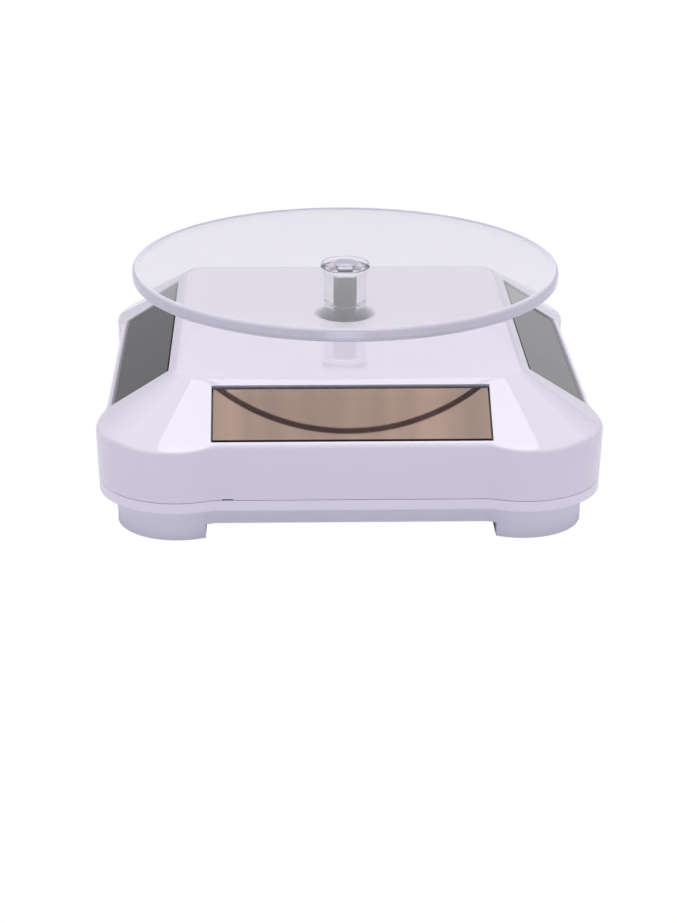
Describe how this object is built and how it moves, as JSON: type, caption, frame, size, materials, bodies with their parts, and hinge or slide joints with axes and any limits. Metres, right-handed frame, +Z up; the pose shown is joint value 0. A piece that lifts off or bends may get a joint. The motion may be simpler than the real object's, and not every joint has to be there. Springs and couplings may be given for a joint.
{
  "type": "solar turntable display stand",
  "caption": "Square white display stand with sloping solar panels on all sides and a clear round turntable disc driven by a geared motor.",
  "frame": {"origin": "on the plane the feet stand on, under the axis of the spindle, at the middle of the base", "axes": "+Z up along the spindle, -Y towards the front of the base, +X to the right seen from the front"},
  "size_m": [0.1134, 0.1134, 0.048],
  "materials": {
    "white_plastic": "high gloss, cool white",
    "cover_plastic": "gloss, cool white",
    "solar_glass": "brown amorphous solar cells behind glass",
    "steel": "plain bright steel",
    "motor_steel": "plated steel",
    "gear_plastic": "natural acetal",
    "brass": "plain",
    "nickel": "nickel plate",
    "black_plastic": "matt",
    "magnet": "ferrite",
    "board": "solder mask",
    "cell_jacket": "plain printed jacket without marks",
    "wire_red": "PVC insulation",
    "wire_black": "PVC insulation",
    "copper": null,
    "grey_plastic": "satin grey",
    "clear_acrylic": "clear, polished"
  },
  "bodies": {
    "base": {"top_shell": "white_plastic", "bottom_cover": "cover_plastic", "solar_panel_front": "solar_glass", "solar_panel_right": "solar_glass", "solar_panel_back": "solar_glass", "solar_panel_left": "solar_glass", "case_screws": "steel", "gearbox_base": "gear_plastic", "gearbox_lid": "gear_plastic", "gearbox_screws": "steel", "lower_bush": "brass", "upper_bush": "brass", "gear_pin_1": "steel", "gear_pin_2": "steel", "gear_pin_3": "steel", "motor_can": "motor_steel", "motor_end_cap": "black_plastic", "motor_magnets": "magnet", "motor_terminals": "brass", "circuit_board": "board", "board_screws": "steel", "storage_capacitor": "black_plastic", "blocking_diodes": "black_plastic", "battery_cell": "cell_jacket", "battery_spring": "nickel", "battery_plate": "nickel", "panel_leads_red": "wire_red", "panel_leads_black": "wire_black", "battery_lead_red": "wire_red", "battery_lead_black": "wire_black", "motor_lead_red": "wire_red", "motor_lead_black": "wire_black"},
    "battery_door": {"battery_door": "cover_plastic"},
    "spindle": {"drive_shaft": "steel", "output_gear": "gear_plastic", "drive_peg": "grey_plastic", "shaft_clip": "steel"},
    "turntable": {"display_disc": "clear_acrylic", "disc_hub": "clear_acrylic"},
    "compound_gear_1": {"compound_gear_1": "gear_plastic"},
    "compound_gear_2": {"compound_gear_2": "gear_plastic"},
    "compound_gear_3": {"compound_gear_3": "gear_plastic"},
    "motor_rotor": {"motor_shaft": "steel", "motor_pinion": "gear_plastic", "motor_armature": "motor_steel", "armature_windings": "copper", "commutator": "copper"}
  },
  "joints": [
    {"name": "spindle_spin", "type": "hinge", "parent": "base", "child": "spindle", "pos_m": [0, 0, 0.03], "axis": [0, 0, 1], "continuous": true},
    {"name": "disc_lift", "type": "slide", "parent": "spindle", "child": "turntable", "axis": [0, 0, 1], "range_m": [0, 0.012]},
    {"name": "gear_3_spin", "type": "hinge", "parent": "base", "child": "compound_gear_3", "pos_m": [-0.01299, 0.0075, 0.015], "axis": [0, 0, 1], "continuous": true},
    {"name": "gear_2_spin", "type": "hinge", "parent": "base", "child": "compound_gear_2", "pos_m": [-0.02598, 0, 0.015], "axis": [0, 0, 1], "continuous": true},
    {"name": "gear_1_spin", "type": "hinge", "parent": "base", "child": "compound_gear_1", "pos_m": [-0.02598, -0.015, 0.015], "axis": [0, 0, 1], "continuous": true},
    {"name": "motor_spin", "type": "hinge", "parent": "base", "child": "motor_rotor", "pos_m": [-0.01449, -0.02464, 0.012], "axis": [0, 0, 1], "continuous": true},
    {"name": "battery_door_slide", "type": "slide", "parent": "base", "child": "battery_door", "axis": [0, -1, 0], "range_m": [0, 0.009]}
  ],
  "couplings": [
    {"joint": "gear_3_spin", "follows": "spindle_spin", "ratio": -4},
    {"joint": "gear_2_spin", "follows": "spindle_spin", "ratio": 16},
    {"joint": "gear_1_spin", "follows": "spindle_spin", "ratio": -64},
    {"joint": "motor_spin", "follows": "spindle_spin", "ratio": 256}
  ]
}
